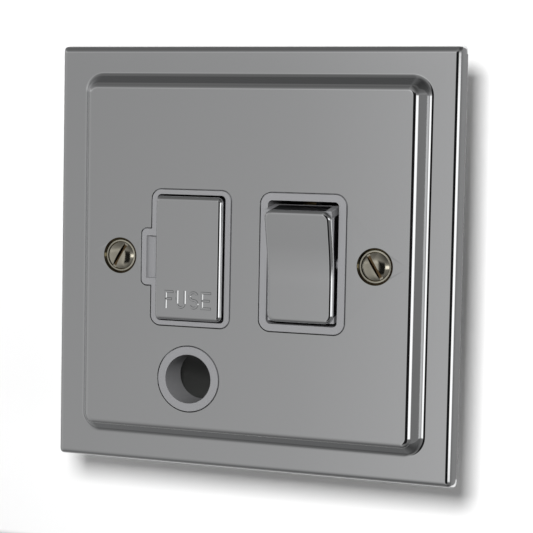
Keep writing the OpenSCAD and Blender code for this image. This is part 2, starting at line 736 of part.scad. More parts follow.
// A brass block with a bore for the wires and a tapped hole for its screw
module terminal_block(x, y) difference() {
    translate([x - block_w / 2, y, block_z]) cube([block_w, block_w, block_h]);
    translate([x, y + block_w / 2, wire_z]) rotate([90, 0, 0])
        cylinder(h = block_w + 2 * overrun, r = wire_d / 2, center = true);
    translate([x, y + block_w / 2, block_z - overrun])
        cylinder(h = wire_z - block_z + overrun, r = terminal_screw_d / 2 + fit_gap);
}

module supply_terminals() color(brass) upright() for (x = supply_xs) terminal_block(x, top_block_y);
module load_terminals() color(brass) upright()
    for (x = load_xs) terminal_block(x, bottom_block_y - block_w);
module earth_terminals() color(brass) upright() for (x = earth_xs) terminal_block(x, top_block_y);

// Slotted screws, backed off so that each bore is open
module terminal_screws() color("silver") upright() {
    places = concat(
        [for (x = supply_xs) [x, top_block_y + block_w / 2]],
        [for (x = earth_xs) [x, top_block_y + block_w / 2]],
        [for (x = load_xs) [x, bottom_block_y - block_w / 2]]
    );
    head_z = block_z - seat_gap - terminal_head_t;
    for (place = places) translate([place.x, place.y, head_z]) difference() {
        union() {
            cylinder(h = terminal_head_t, r = terminal_head_d / 2);
            cylinder(h = wire_z - wire_d / 2 - seat_gap - head_z, r = terminal_screw_d / 2);
        }
        cube([terminal_head_d + overrun, slot_w, terminal_head_t], center = true);
    }
}

// Strip over both earth blocks, up the module's top edge, to a stud on the plate
module earth_strap() color(brass) upright() {
    leg_y = module_top + seat_gap / 3;
    leg_x = earth_stud_x - strip_w / 2;
    translate([earth_xs[0] - block_w / 2, top_block_y, block_top_z])
        cube([earth_xs[1] - earth_xs[0] + block_w, block_w, strip_t]);
    translate([leg_x, top_block_y + block_w / 2, block_top_z])
        cube([strip_w, leg_y + strip_t - top_block_y - block_w / 2, strip_t]);
    translate([leg_x, leg_y, block_top_z]) cube([strip_w, strip_t, panel_back - block_top_z]);
    difference() {
        translate([leg_x, leg_y, panel_back - strip_t])
            cube([strip_w, earth_stud_y + nut_flats / 2 - leg_y, strip_t]);
        translate([earth_stud_x, earth_stud_y, panel_back - strip_t - overrun])
            cylinder(h = strip_t + 2 * overrun, r = stud_d / 2 + fit_gap);
    }
}

// Drawer that holds the fuse: a tray under the metal face, two cradles round the barrel
// and a guide leg on each side that stays in the chute when the fuse is out
module fuse_carrier_body() color(light_plastic) upright() translate([fuse_x, 0, 0]) {
    w = fuse_open_w - 2 * carrier_gap;
    h = fuse_open_h - 2 * carrier_gap;
    difference() {
        slice(carrier_low_z, carrier_top_z) rounded(w, h, opening_r);
        slice(carrier_low_z - overrun, carrier_top_z - carrier_plate_t)
            square([w - 2 * carrier_wall, h - 2 * carrier_wall], center = true);
    }
    for (side = [-1, 1]) translate([side * (w - carrier_wall) / 2, 0, 0])
        slice(guide_low_z, carrier_low_z + carrier_wall) square([carrier_wall, guide_l], center = true);
    for (y = [-cradle_y, cradle_y]) translate([0, y, 0]) along_y(cradle_t) difference() {
        translate([-cradle_w / 2, fuse_z - cradle_grip])
            square([cradle_w, carrier_top_z - carrier_plate_t / 2 - fuse_z + cradle_grip]);
        translate([0, fuse_z]) circle(barrel_r + fit_gap);
    }
}

// Metal face of the fuse drawer, with a rounded edge
module fuse_carrier_face() color(chrome) upright() translate([fuse_x, 0, carrier_top_z])
    swept(fuse_face_w / 2 - face_corner_r, fuse_face_h / 2 - face_corner_r, 0, face_t) {
        square([face_corner_r - face_edge_r, face_t]);
        square([face_corner_r, face_t - face_edge_r]);
        intersection() {
            translate([face_corner_r - face_edge_r, face_t - face_edge_r]) circle(face_edge_r);
            square([face_corner_r, face_t]);
        }
    }

// Cartridge fuse: ceramic barrel and two metal caps
module fuse_barrel() color("white") upright() translate([fuse_x, 0, fuse_z]) rotate([90, 0, 0]) {
    cylinder(h = fuse_l - 2 * (fuse_cap_l + fit_gap), r = barrel_r, center = true);
    cylinder(h = fuse_l - 4 * cap_wall, r = fuse_r - cap_wall - fit_gap, center = true);
}

module fuse_caps() color(brass) upright() for (side = [-1, 1])
    translate([fuse_x, side * (fuse_l - fuse_cap_l) / 2, fuse_z]) rotate([side * 90, 0, 0]) difference() {
        cylinder(h = fuse_cap_l, r = fuse_r, center = true);
        translate([0, 0, cap_wall + overrun / 2])
            cylinder(h = fuse_cap_l + overrun, r = fuse_r - cap_wall, center = true);
    }

// Bar with a ridge that holds the flex down in its channel
module cord_clamp() color("ivory") upright() translate([flex_x, clamp_y, base_z - clamp_t]) difference() {
    union() {
        slice(0, clamp_t) rounded(clamp_l, clamp_w, clamp_w / 2 - fit_gap);
        translate([0, 0, clamp_t]) along_x(channel_w - 2 * seat_gap) circle(clamp_ridge_r);
    }
    for (side = [-1, 1]) translate([side * clamp_screw_x, 0, -overrun])
        cylinder(h = clamp_t + 2 * overrun, r = clamp_screw_d / 2 + fit_gap);
}

module cord_clamp_screws() color("silver") upright() for (side = [-1, 1])
    translate([flex_x + side * clamp_screw_x, clamp_y, base_z - clamp_t - rear_screw_head_t]) difference() {
        union() {
            cylinder(h = rear_screw_head_t, r = rear_screw_head_d / 2);
            cylinder(h = rear_screw_head_t + clamp_t + clamp_screw_grip - seat_gap, r = clamp_screw_d / 2);
        }
        cross_recess(rear_screw_head_d, rear_screw_head_t);
    }

front_plate();
plate_studs();
stud_nuts();
fixing_screws();
front_moulding();
rear_moulding();
rear_screws();
rocker_face();
rocker_body();
plungers();
plunger_springs();
live_seesaw();
neutral_seesaw();
live_moving_tip();
neutral_moving_tip();
live_link();
neutral_link();
load_link();
supply_strips();
fixed_tips();
fuse_clips();
supply_terminals();
load_terminals();
earth_terminals();
terminal_screws();
earth_strap();
fuse_carrier_body();
fuse_carrier_face();
fuse_barrel();
fuse_caps();
cord_clamp();
cord_clamp_screws();
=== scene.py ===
from math import cos, radians, sin, tan

import bmesh
import bpy
from mathutils import Matrix, Vector


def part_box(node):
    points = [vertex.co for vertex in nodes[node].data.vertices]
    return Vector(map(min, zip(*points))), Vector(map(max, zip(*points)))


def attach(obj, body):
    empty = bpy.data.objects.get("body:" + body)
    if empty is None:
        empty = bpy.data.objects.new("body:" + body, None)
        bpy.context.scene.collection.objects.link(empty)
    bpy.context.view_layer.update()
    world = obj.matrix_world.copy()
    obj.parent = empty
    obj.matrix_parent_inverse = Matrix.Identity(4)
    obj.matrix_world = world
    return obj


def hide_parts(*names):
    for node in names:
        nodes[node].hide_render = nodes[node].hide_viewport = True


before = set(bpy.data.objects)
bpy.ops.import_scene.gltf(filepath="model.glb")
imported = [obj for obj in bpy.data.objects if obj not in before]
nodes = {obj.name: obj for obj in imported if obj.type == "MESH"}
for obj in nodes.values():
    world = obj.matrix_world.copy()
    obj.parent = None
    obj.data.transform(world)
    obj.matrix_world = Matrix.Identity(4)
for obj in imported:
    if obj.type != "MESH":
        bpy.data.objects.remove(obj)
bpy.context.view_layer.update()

# The camera stands a little to the right of the plate and just above it, close enough that
# the near edge looks taller than the far one. Its roll and lens are those of the photograph.
camera_compass = 20.858
camera_height = 4.154
camera_roll = radians(1.106)
camera_distance = 0.389
camera_target = Vector((0.002416, 0.000702, -0.001596))
image_px = 533
focal_px = 1736.57
sensor_mm = 36


def way_to(compass, height):
    """The direction from the plate to a point in front of it, in degrees to its right and up."""
    compass, height = radians(compass), radians(height)
    return Vector((sin(compass) * cos(height), -cos(compass) * cos(height), sin(height)))


towards_camera = way_to(camera_compass, camera_height)
level_right = (-towards_camera).cross(Vector((0, 0, 1))).normalized()
level_up = level_right.cross(-towards_camera)
rolled_right = level_right * cos(camera_roll) + level_up * sin(camera_roll)
rolled_up = level_up * cos(camera_roll) - level_right * sin(camera_roll)
camera = bpy.data.objects.new("camera", bpy.data.cameras.new("camera"))
camera.data.sensor_width = sensor_mm
camera.data.lens = sensor_mm * focal_px / image_px
camera.data.clip_start = 0.01
camera.matrix_world = Matrix((rolled_right, rolled_up, towards_camera)).transposed().to_4x4()
camera.matrix_world.translation = camera_target + camera_distance * towards_camera
bpy.context.scene.collection.objects.link(camera)
bpy.context.scene.camera = camera
bpy.context.scene.view_settings.view_transform = "Standard"

# The studio is a dim grey room that the bright metal mirrors, with a wide white panel to the
# right of the camera, a black card beside it and a soft glow at eye level on the left. Each is
# a map by the compass and the height of a direction in degrees, the same for every kind of ray.
room_by_compass = [
    (-180, 0.5), (-110, 0.5), (-60, 0.46), (-35, 0.42), (-27, 0.42), (-20, 0.47), (-13, 0.62),
    (-5, 0.6), (40, 0.3), (50, 0.22), (90, 0.22), (108, 0.3), (180, 0.4),
]
room_by_height = [
    (-90, 0.2), (-60, 0.45), (-36, 0.9), (-11, 1.03), (3, 0.96), (8, 1.4), (12, 1.2),
    (20, 0.75), (35, 0.5), (60, 0.38), (90, 0.38),
]
panel_by_compass = [(-180, 0), (38, 0), (43, 1), (73, 1), (84, 0.2), (94, 0), (180, 0)]
panel_by_height = [(-90, 0), (-14, 0), (-9.8, 1), (1.6, 1), (3.6, 0.3), (9, 0), (90, 0)]
panel_light = 1.5
card_by_compass = [(-180, 0), (-7, 0), (-4, 1), (35, 1), (41, 0), (180, 0)]
card_by_height = [(-90, 0), (-50, 0), (-35, 1), (13, 1), (24, 0), (90, 0)]
card_black = 0.97

world = bpy.data.worlds.new("studio")
world.use_nodes = True
bpy.context.scene.world = world
room = world.node_tree
room.nodes.clear()


def feed(tree, node, inputs):
    """Sets each named input of a node to a value, or joins it to another node's output."""
    for name, value in inputs.items():
        if isinstance(value, bpy.types.NodeSocket):
            tree.links.new(value, node.inputs[name])
        else:
            node.inputs[name].default_value = value
    return node


def worked_out(tree, operation, first, second=0.0):
    """The result of a math node on two numbers or outputs."""
    node = tree.nodes.new("ShaderNodeMath")
    node.operation = operation
    return feed(tree, node, {0: first, 1: second}).outputs["Value"]


def ranged(tree, value, start, end, first=0.0, last=1.0, course="LINEAR"):
    """A value that goes from first to last while another goes from start to end."""
    node = tree.nodes.new("ShaderNodeMapRange")
    node.interpolation_type = course
    feed(tree, node, {"Value": value, "From Min": start, "From Max": end, "To Min": first, "To Max": last})
    return node.outputs["Result"]


def room_ramp(angle, stops, reach):
    """Greys over an angle in radians that runs from minus to plus its reach in degrees."""
    share = ranged(room, angle, radians(-reach), radians(reach))
    ramp = feed(room, room.nodes.new("ShaderNodeValToRGB"), {"Fac": share})
    elements = ramp.color_ramp.elements
    elements.remove(elements[1])
    for index, (stop, grey) in enumerate(stops):
        position = (stop + reach) / (2 * reach)
        element = elements[0] if index == 0 else elements.new(position)
        element.position = position
        element.color = (grey, grey, grey, 1)
    return ramp.outputs["Color"]


def room_map(by_compass, by_height, strength=1.0):
    """One map of the room: its value by compass times its value by height and its strength."""
    product = worked_out(room, "MULTIPLY", room_ramp(compass, by_compass, 180),
                         room_ramp(height, by_height, 90))
    return worked_out(room, "MULTIPLY", product, strength)


ray = room.nodes.new("ShaderNodeTexCoord").outputs["Generated"]
ray_axes = feed(room, room.nodes.new("ShaderNodeSeparateXYZ"), {"Vector": ray}).outputs
compass = worked_out(room, "ARCTAN2", ray_axes["X"], worked_out(room, "MULTIPLY", ray_axes["Y"], -1))
height = worked_out(room, "ARCSINE", ray_axes["Z"])
card = room_map(card_by_compass, card_by_height, card_black)
uncovered = worked_out(room, "SUBTRACT", 1, card)
walls = worked_out(room, "MULTIPLY", room_map(room_by_compass, room_by_height), uncovered)
whole = worked_out(room, "ADD", walls, room_map(panel_by_compass, panel_by_height, panel_light))
background = feed(room, room.nodes.new("ShaderNodeBackground"), {"Color": (1, 1, 1, 1), "Strength": whole})
feed(room, room.nodes.new("ShaderNodeOutputWorld"), {"Surface": background.outputs["Background"]})

# A soft lamp in front throws the plate's shadow down and to the side on the wall. A second one
# behind lights the module for views from the back. The bright metal mirrors neither of them.
lamps = {
    "key_lamp": {"compass": 13.7, "height": 12.8, "distance": 0.419, "size": 0.075, "power": 1.95},
    "back_lamp": {"compass": 250, "height": 45, "distance": 1.2, "size": 0.6, "power": 12.0},
}
for name, kind in lamps.items():
    light = bpy.data.lights.new(name, "AREA")
    light.size = kind["size"]
    light.energy = kind["power"]
    lamp = bpy.data.objects.new(name, light)
    place = kind["distance"] * way_to(kind["compass"], kind["height"])
    lamp.matrix_world = place.to_track_quat("Z", "Y").to_matrix().to_4x4()
    lamp.location = place
    lamp.visible_glossy = False
    bpy.context.scene.collection.objects.link(lamp)

# A wall behind the module catches the shadow. Its paint is white behind the plate and fades to a
# painted shade of grey around, darker to the right, as if only the middle were lit, and the metal
# mirrors that painted shade; it ends above the plate, and from behind it lets the view and the light pass.
wall_y = 0.0275
wall_top = 0.0665
wall_half = 1.0
wall_white = (0.97, 0.97, 0.97)
white_centre_x = -0.0147
white_half = 0.0745
fade_l = 0.0025
shade_grey_half = 0.1
shade_grey_at_left = 0.42
shade_grey_at_right = 0.24

wall_mesh = bpy.data.meshes.new("pale_wall")
bm = bmesh.new()
wall_corners = [(-wall_half, -wall_half), (wall_half, -wall_half),
                (wall_half, wall_top), (-wall_half, wall_top)]
bm.faces.new([bm.verts.new((x, wall_y, z)) for x, z in wall_corners])
bm.to_mesh(wall_mesh)
bm.free()
wall = bpy.data.objects.new("pale_wall", wall_mesh)
bpy.context.scene.collection.objects.link(wall)
wall.visible_diffuse = False
wall.visible_shadow = False


def named_material(name, colour, metallic=0.0, roughness=0.5):
    """A material with its shader's plain values set, and its nodes ready for a pattern."""
    material = bpy.data.materials.new(name)
    material.use_nodes = True
    tree = material.node_tree
    shader = feed(tree, tree.nodes["Principled BSDF"], {
        "Base Color": (*colour, 1), "Metallic": metallic, "Roughness": roughness,
    })
    return material, tree, shader


def surface_point(tree):
    """The point of the surface that is shaded, in its object's own coordinates."""
    return tree.nodes.new("ShaderNodeTexCoord").outputs["Object"]


def mixed(tree, share, first, second):
    """A colour between two others."""
    node = tree.nodes.new("ShaderNodeMix")
    node.data_type = "RGBA"
    return feed(tree, node, {"Factor": share, "A": first, "B": second}).outputs["Result"]


wall_paint, tree, shader = named_material("pale_wall_paint", wall_white, roughness=1.0)
wall_axes = feed(tree, tree.nodes.new("ShaderNodeSeparateXYZ"), {"Vector": surface_point(tree)}).outputs
sideways = worked_out(tree, "ABSOLUTE", worked_out(tree, "SUBTRACT", wall_axes["X"], white_centre_x))
upwards = worked_out(tree, "ABSOLUTE", wall_axes["Z"])
into_painted_shade = ranged(tree, worked_out(tree, "MAXIMUM", sideways, upwards), white_half, white_half + fade_l,
              course="SMOOTHSTEP")
# Painted shade: the grey round the white middle, lighter at the left than at the right, stands in for a wall
# lit only behind the plate.
grey = ranged(tree, wall_axes["X"], -shade_grey_half, shade_grey_half, shade_grey_at_left, shade_grey_at_right)
feed(tree, shader, {"Specular IOR Level": 0, "Base Color": mixed(tree, into_painted_shade, (*wall_white, 1), grey)})
behind = tree.nodes.new("ShaderNodeNewGeometry").outputs["Backfacing"]
clear = tree.nodes.new("ShaderNodeBsdfTransparent").outputs["BSDF"]
one_sided = feed(tree, tree.nodes.new("ShaderNodeMixShader"), {
    "Fac": behind, 1: shader.outputs["BSDF"], 2: clear,
})
feed(tree, tree.nodes["Material Output"], {"Surface": one_sided.outputs["Shader"]})
wall_mesh.materials.append(wall_paint)

# The front plate is one sheet of steel pressed into a flat border, a step and a raised panel,
# pierced for the mouldings and dimpled for two screws, then polished and chromium plated.
# Pieces are drawn in millimetres lying on their backs, and then stood up against the wall.
stand_up = Matrix.Scale(0.001, 4) @ Matrix.Rotation(radians(90), 4, "X")
plate_low, plate_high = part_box("front_plate")
plate_half = 1000 * plate_high.x
sheet_t = 1
border_h = 3.4
panel_h = -1000 * plate_low.y
rim_bend_r = 1.45
rim_slope = radians(79)
rim_corner_r = 2.1
rim_squareness = 4
step_slope = radians(58)
step_top_r = 1.6
step_foot_r = 1.15
panel_half = 37.6
panel_corner_r = 1.0
bend_steps = 14
corner_steps = 18
edge_softness = 0.08
cutout_gap = 0.22
cutout_corner_steps = 10
fixing_x = 30.15
countersink_r = 4
countersink_hole_r = 1.9
fuse_x = -12.8
fuse_bezel_w, fuse_bezel_h, fuse_bezel_r = 18.95, 30.4, 2.2
fuse_tab_out, fuse_tab_h, fuse_tab_r = 2.45, 12.65, 1.2
switch_x = 13.65
switch_bezel_w, switch_bezel_h, switch_bezel_r = 19.7, 30.3, 2.5
flex_place = (-12.95, -27.1)
flex_tube_r = 7.3
same_place = 1e-4
welded = 0.0005


def finished_piece(name, bm, body, material, stands_for=(), sharp=32):
    """Stands a drawn shape up, shades it and gives it its body and its nodes."""
    bmesh.ops.remove_doubles(bm, verts=bm.verts, dist=welded)
    bmesh.ops.recalc_face_normals(bm, faces=bm.faces)
    bm.transform(stand_up)
    mesh = bpy.data.meshes.new(name)
    bm.to_mesh(mesh)
    bm.free()
    mesh.shade_smooth()
    mesh.set_sharp_from_angle(angle=radians(sharp))
    mesh.materials.append(material)
    piece = bpy.data.objects.new(name, mesh)
    bpy.context.scene.collection.objects.link(piece)
    weighted = piece.modifiers.new("flat_faces_stay_flat", "WEIGHTED_NORMAL")
    weighted.keep_sharp = True
    weighted.weight = 80
    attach(piece, body)
    if stands_for:
        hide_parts(*stands_for)
    return piece


def bend(centre, radius, start, end, steps=bend_steps):
    """Points along an arc, with angles measured from straight up towards the outside."""
    angles = [start + (end - start) * step / steps for step in range(steps + 1)]
    return [(centre[0] + radius * sin(a), centre[1] + radius * cos(a)) for a in angles]


def drawn_line(bm, points):
    """A line of edges from point to point, as its points and its edges."""
    verts = [bm.verts.new(point) for point in points]
    return verts, [bm.edges.new(pair) for pair in zip(verts, verts[1:])]


def new_points(made):
    """The points among what an operator made."""
    return [part for part in made["geom"] if isinstance(part, bmesh.types.BMVert)]


def moved(bm, made, way):
    """The points that an operator made, moved some way."""
    verts = new_points(made)
    bmesh.ops.translate(bm, verts=verts, vec=way)
    return verts


def swept_round(bm, corner, section):
    """Sweeps a section round a rounded square whose corner centres lie at that distance."""
    verts, run = drawn_line(bm, [(corner + out, corner, up) for out, up in section])
    spun = bmesh.ops.spin(bm, geom=verts + run, cent=(corner, corner, 0), axis=(0, 0, 1),
                          angle=radians(90), steps=corner_steps, use_merge=False)
    last_run = [part for part in spun["geom_last"] if isinstance(part, bmesh.types.BMEdge)]
    for edges, way in ((run, (0, -corner, 0)), (last_run, (-corner, 0, 0))):
        moved(bm, bmesh.ops.extrude_edge_only(bm, edges=edges), way)
    for axis in "XY":
        bmesh.ops.mirror(bm, geom=bm.verts[:] + bm.edges[:] + bm.faces[:], axis=axis, merge_dist=welded)


def open_edges(bm, up):
    """The edges at one height that still lack a face on one side."""
    return [e for e in bm.edges
            if len(e.link_faces) < 2 and all(abs(v.co.z - up) < same_place for v in e.verts)]


def outline(bm, corners, up):
    """A closed outline of edges from corners given as x, y and a radius."""
    face = bm.faces.new([bm.verts.new((x, y, up)) for x, y, r in corners])
    for radius in sorted({r for x, y, r in corners if r}):
        places = [Vector((x, y, up)) for x, y, r in corners if r == radius]
        verts = [v for v in face.verts if any((v.co - p).length < same_place for p in places)]
        made = bmesh.ops.bevel(bm, geom=verts, offset=radius, segments=cutout_corner_steps, profile=0.5,
                               affect="VERTICES", material=-1)
        face = max(made["faces"] + [f for v in made["verts"] for f in v.link_faces],
                   key=lambda f: len(f.verts))
    edges = face.edges[:]
    bmesh.ops.delete(bm, geom=[face], context="FACES_ONLY")
    return edges


def circle(bm, place, radius, up, steps=64):
    """A ring of edges at a place on the panel."""
    made = bmesh.ops.create_circle(bm, segments=steps, radius=radius,
                                   matrix=Matrix.Translation((*place, up)))
    return [e for e in bm.edges if all(v in made["verts"] for v in e.verts)]


def rectangle(x, width, height, radius, gap=0.0):
    """The four corners of an upright rectangle with its middle at x, wider by a gap all round."""
    w, h, r = width / 2 + gap, height / 2 + gap, radius + gap
    return [(x - w, -h, r), (x + w, -h, r), (x + w, h, r), (x - w, h, r)]


def fuse_opening(gap):
    """The fuse surround's corners, with the tab at its left for a driver's tip."""
    w, h, r = fuse_bezel_w / 2 + gap, fuse_bezel_h / 2 + gap, fuse_bezel_r + gap
    tab_h, tab_r = fuse_tab_h / 2 + gap, fuse_tab_r + gap
    left, right = fuse_x - w, fuse_x + w
    tab_left = left - fuse_tab_out
    return [(left, -h, r), (right, -h, r), (right, h, r), (left, h, r),
            (left, tab_h, 0), (tab_left, tab_h, tab_r), (tab_left, -tab_h, tab_r), (left, -tab_h, 0)]


def outside_up(bm):
    """Turns the faces of an open sheet the same way round, with its outer side upwards."""
    bmesh.ops.recalc_face_normals(bm, faces=bm.faces)
    if sum(f.calc_area() * f.normal.z for f in bm.faces) < 0:
        bmesh.ops.reverse_faces(bm, faces=bm.faces)


# Polishing leaves faint hairlines and a slight unevenness, which the gloss shows more than the
# colour does. The same effect, with its own values, serves every bright metal here.
def effect_group(name, inputs, outputs):
    """A shader node group with named inputs and outputs, and the nodes at its two ends."""
    group = bpy.data.node_groups.new(name, "ShaderNodeTree")
    for in_out, sockets in (("INPUT", inputs), ("OUTPUT", outputs)):
        for socket, kind in sockets.items():
            group.interface.new_socket(socket, in_out=in_out, socket_type=f"NodeSocket{kind}")
    return group, group.nodes.new("NodeGroupInput"), group.nodes.new("NodeGroupOutput")


def placed_group(tree, group, inputs):
    """A group's node in a material, with that material's own values, and its outputs."""
    node = tree.nodes.new("ShaderNodeGroup")
    node.node_tree = group
    return feed(tree, node, inputs).outputs


def noise(tree, scale, detail):
    """A cloudy grey over the surface."""
    node = tree.nodes.new("ShaderNodeTexNoise")
    return feed(tree, node, {"Vector": surface_point(tree), "Scale": scale, "Detail": detail}).outputs["Fac"]


def relief(tree, height, strength):
    """The normal of a surface with a pattern in it that is 0.1 mm deep at full strength."""
    node = tree.nodes.new("ShaderNodeBump")
    return feed(tree, node, {"Height": height, "Strength": strength, "Distance": 0.0001}).outputs["Normal"]


polish, given, result = effect_group(
    "polish_marks",
    {"Smoothest": "Float", "Dullest": "Float", "Grain Scale": "Float"},
    {"Roughness": "Float", "Height": "Float"},
)
feed(polish, result, {
    "Roughness": ranged(polish, noise(polish, 60, 3), 0.35, 0.65,
                        given.outputs["Smoothest"], given.outputs["Dullest"]),
    "Height": noise(polish, given.outputs["Grain Scale"], 4),
})


def bright_metal(name, colour, smoothest, dullest, grain, bump):
    """A metal with polish marks: its roughness wanders and its surface has a faint grain."""
    material, tree, shader = named_material(name, colour, metallic=1.0)
    marks = placed_group(tree, polish, {"Smoothest": smoothest, "Dullest": dullest, "Grain Scale": grain})
    feed(tree, shader, {"Roughness": marks["Roughness"], "Normal": relief(tree, marks["Height"], bump)})
    return material


chrome = bright_metal("polished_chrome", (0.60, 0.605, 0.61), 0.04, 0.08, 900, 0.02)


# Brown is painted round the fixing screws, in the plate's dimples and in the slots: partly old polish,
# and partly painted shade in those hollows. The group gives the distance from the nearest screw's axis, and
# the depth under its domed head.
round_the_screws, given, result = effect_group(
    "round_the_screws",
    {"Height": "Float", "Roundness": "Float"},
    {"Distance": "Float", "Depth": "Float"},
)
tree = round_the_screws
axes = feed(tree, tree.nodes.new("ShaderNodeSeparateXYZ"), {"Vector": surface_point(tree)}).outputs
sideways = worked_out(tree, "SUBTRACT", worked_out(tree, "ABSOLUTE", axes["X"]), fixing_x / 1000)
squares = worked_out(tree, "ADD", worked_out(tree, "MULTIPLY", sideways, sideways),
                     worked_out(tree, "MULTIPLY", axes["Z"], axes["Z"]))
below_top = worked_out(tree, "ADD", axes["Y"], given.outputs["Height"])
dome_fall = worked_out(tree, "MULTIPLY", squares, given.outputs["Roundness"])
feed(tree, result, {
    "Distance": worked_out(tree, "SQRT", squares),
    "Depth": worked_out(tree, "SUBTRACT", below_top, dome_fall),
})


def tarnished_and_shaded(material, name, output, unbrowned, brown, colour, height=0.0, roundness=0.0):
    """A copy of a metal that turns brown, as old polish with painted shade, between two values of the screw
    group's output.
    """
    copy = material.copy()
    copy.name = name
    tree = copy.node_tree
    shader = tree.nodes["Principled BSDF"]
    screws = placed_group(tree, round_the_screws, {"Height": height / 1000, "Roundness": roundness * 1000})
    tarnish_and_shade = ranged(tree, screws[output], unbrowned / 1000, brown / 1000)
    bare = shader.inputs["Base Color"].default_value
    feed(tree, shader, {"Base Color": mixed(tree, tarnish_and_shade, bare, (*colour, 1))})
    return copy


# The dimple's ring that shows round each head is painted dark brown: painted shade in the gap, with old
# polish.
dimple_unbrowned_r = countersink_r + 0.09
dimple_brown_r = countersink_r + 0.03
dimpled_chrome = tarnished_and_shaded(chrome, "dimpled_chrome", "Distance", dimple_unbrowned_r, dimple_brown_r,
                           (0.10, 0.085, 0.05))

bm = bmesh.new()
rim_corner = plate_half - rim_corner_r
rim_wall_h = border_h - rim_bend_r + rim_bend_r * cos(rim_slope)
rim_run = rim_bend_r * sin(rim_slope) + rim_wall_h / tan(rim_slope)
rim_centre = (rim_corner_r - rim_run, border_h - rim_bend_r)
swept_round(bm, rim_corner, bend(rim_centre, rim_bend_r, 0, rim_slope) + [(rim_corner_r, 0)])

step_bm = bmesh.new()
step_l = (panel_h - border_h - (step_top_r + step_foot_r) * (1 - cos(step_slope))) / sin(step_slope)
step_run = (step_top_r + step_foot_r) * sin(step_slope) + step_l * cos(step_slope)
top_centre = (panel_corner_r, panel_h - step_top_r)
foot_centre = (panel_corner_r + step_run, border_h + step_foot_r)
swept_round(step_bm, panel_half - panel_corner_r,
            bend(top_centre, step_top_r, 0, step_slope)
            + bend(foot_centre, step_foot_r, radians(180) + step_slope, radians(180)))
step_mesh = bpy.data.meshes.new("step")
step_bm.to_mesh(step_mesh)
step_bm.free()
bm.from_mesh(step_mesh)
bpy.data.meshes.remove(step_mesh)
bmesh.ops.bridge_loops(bm, edges=open_edges(bm, border_h))

panel_edges = open_edges(bm, panel_h)
panel_edges += outline(bm, fuse_opening(cutout_gap), panel_h)
switch_opening = rectangle(switch_x, switch_bezel_w, switch_bezel_h, switch_bezel_r, cutout_gap)
panel_edges += outline(bm, switch_opening, panel_h)
panel_edges += circle(bm, flex_place, flex_tube_r + cutout_gap, panel_h)
dimple_h = countersink_r - countersink_hole_r
dimple_narrowing = countersink_hole_r / countersink_r
for side in (-1, 1):
    ring = circle(bm, (side * fixing_x, 0), countersink_r, panel_h)
    panel_edges += ring
    hole = moved(bm, bmesh.ops.extrude_edge_only(bm, edges=ring), (0, 0, -dimple_h))
    bmesh.ops.scale(bm, verts=hole, vec=(dimple_narrowing, dimple_narrowing, 1),
                    space=Matrix.Translation((-side * fixing_x, 0, 0)))
bmesh.ops.triangle_fill(bm, use_beauty=True, edges=panel_edges, normal=(0, 0, 1))
outside_up(bm)
bmesh.ops.solidify(bm, geom=bm.faces[:], thickness=sheet_t)
for vert in bm.verts:
    vert.co.z = max(vert.co.z, 0)
crisp = [e for e in bm.edges if len(e.link_faces) == 2 and e.calc_face_angle() > radians(30)]
bmesh.ops.bevel(bm, geom=crisp, offset=edge_softness, segments=3, profile=0.5,
                affect="EDGES", material=-1)
# The press leaves the rim's corners squarer than an arc, so their points move outwards.
for vert in bm.verts:
    out = Vector((abs(vert.co.x) - rim_corner, abs(vert.co.y) - rim_corner))
    if min(out) > same_place:
        out *= out.length / (out.x ** rim_squareness + out.y ** rim_squareness) ** (1 / rim_squareness)
        vert.co.x = (rim_corner + out.x) * (1 if vert.co.x > 0 else -1)
        vert.co.y = (rim_corner + out.y) * (1 if vert.co.y > 0 else -1)
finished_piece("polished_plate", bm, "housing", dimpled_chrome, ["front_plate"])

# The rocker's face is a chromed cap in two flats that meet in a shallow dish. Its skirt covers
# the sides of the moulded rocker down to the trunnions, and polishing rounds all its edges.
rocker_w, rocker_l = 15.3, 24.6
rocker_tilt = radians(7)
pivot_z = 4.4
face_mid_h = 4.2315
face_end_h = face_mid_h + rocker_l / 2 * tan(rocker_tilt)
dish_r = 40
dish_steps = 8
skirt_low = -0.4
skirt_flare = 0.26
skirt_out = 0.04
cap_t = 0.6
cap_corner_r = 2.0
cap_edge_r = 0.95
cap_edge_steps = 7

bm = bmesh.new()
dish_centre_h = face_mid_h + dish_r / cos(rocker_tilt)
dish = [(dish_r * sin(a), dish_centre_h - dish_r * cos(a))
        for a in [rocker_tilt * step / dish_steps for step in range(-dish_steps, dish_steps + 1)]]
cap_l = rocker_l / 2 + skirt_out
cap_w = rocker_w + 2 * skirt_out
profile = [(-cap_l - skirt_flare, skirt_low), (cap_l + skirt_flare, skirt_low),
           (cap_l, face_end_h)] + dish[::-1] + [(-cap_l, face_end_h)]
side_face = bm.faces.new([bm.verts.new((-cap_w / 2, y, h)) for y, h in profile])
moved(bm, bmesh.ops.extrude_face_region(bm, geom=[side_face]), (cap_w, 0, 0))
end_y = cap_l - same_place
upright_edges = [e for e in bm.edges if all(abs(v.co.y) > end_y for v in e.verts)
                 and abs(e.verts[0].co.x - e.verts[1].co.x) < same_place
                 and e.verts[0].co.y * e.verts[1].co.y > 0]
bmesh.ops.bevel(bm, geom=upright_edges, offset=cap_corner_r, segments=8, profile=0.5,
                affect="EDGES", material=-1)
bmesh.ops.recalc_face_normals(bm, faces=bm.faces)
face_edges = [e for e in bm.edges if len(e.link_faces) == 2 and e.calc_face_angle() > radians(40)
              and max(f.normal.z for f in e.link_faces) > 0.9]
bmesh.ops.bevel(bm, geom=face_edges, offset=cap_edge_r, segments=cap_edge_steps, profile=0.5,
                affect="EDGES", material=-1)
bmesh.ops.delete(bm, geom=[f for f in bm.faces if f.normal.z < -0.99], context="FACES")
outside_up(bm)
bmesh.ops.solidify(bm, geom=bm.faces[:], thickness=cap_t)
